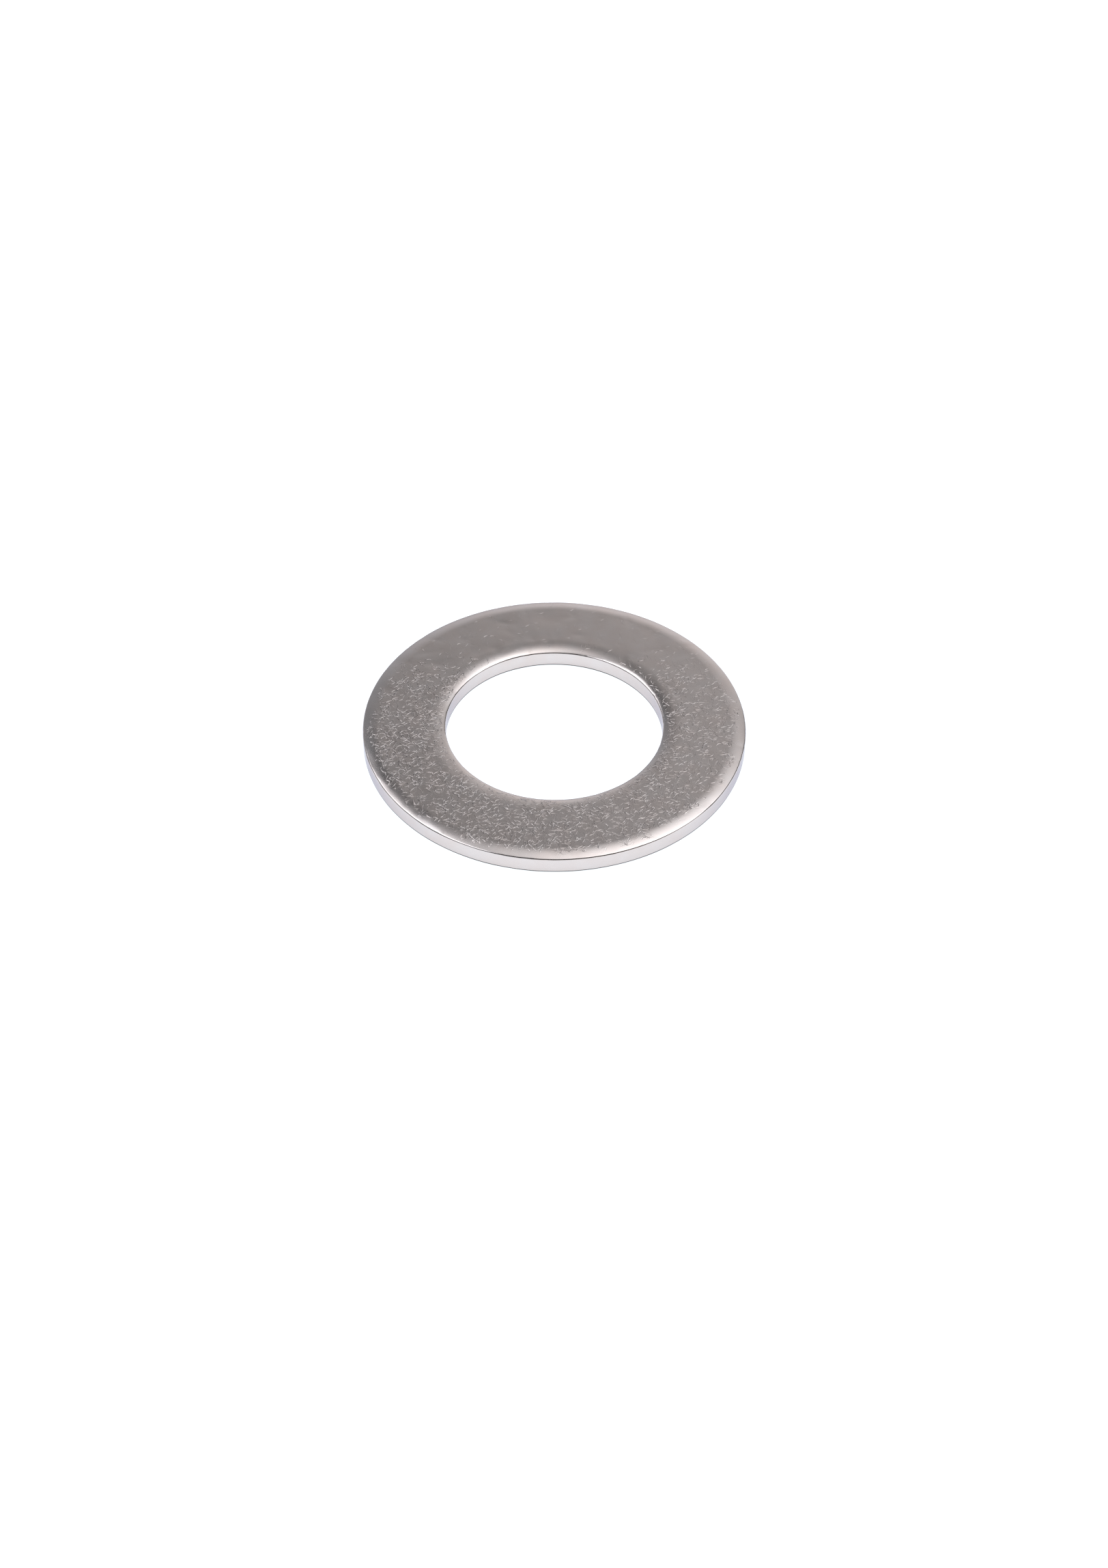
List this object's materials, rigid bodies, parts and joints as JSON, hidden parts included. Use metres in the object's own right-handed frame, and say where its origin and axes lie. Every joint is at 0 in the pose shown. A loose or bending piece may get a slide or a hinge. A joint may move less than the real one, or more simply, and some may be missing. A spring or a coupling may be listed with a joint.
{
  "type": "flat washer",
  "caption": "Flat round washer stamped from thin stainless sheet, with a plain through hole; spreads a bolt head's or nut's load.",
  "frame": {"origin": "centre of the hole on the lower face, where the washer rests", "axes": "+Z along the hole's axis, from the square-edged lower face to the upper face, whose edges are rolled down; the washer is round, so +X and +Y are any two directions across it"},
  "size_m": [0.03, 0.03, 0.0015],
  "materials": {
    "stainless_steel": "bright, barrel-tumbled, with fine random dents"
  },
  "bodies": {
    "root": {"washer": "stainless_steel"}
  },
  "joints": []
}
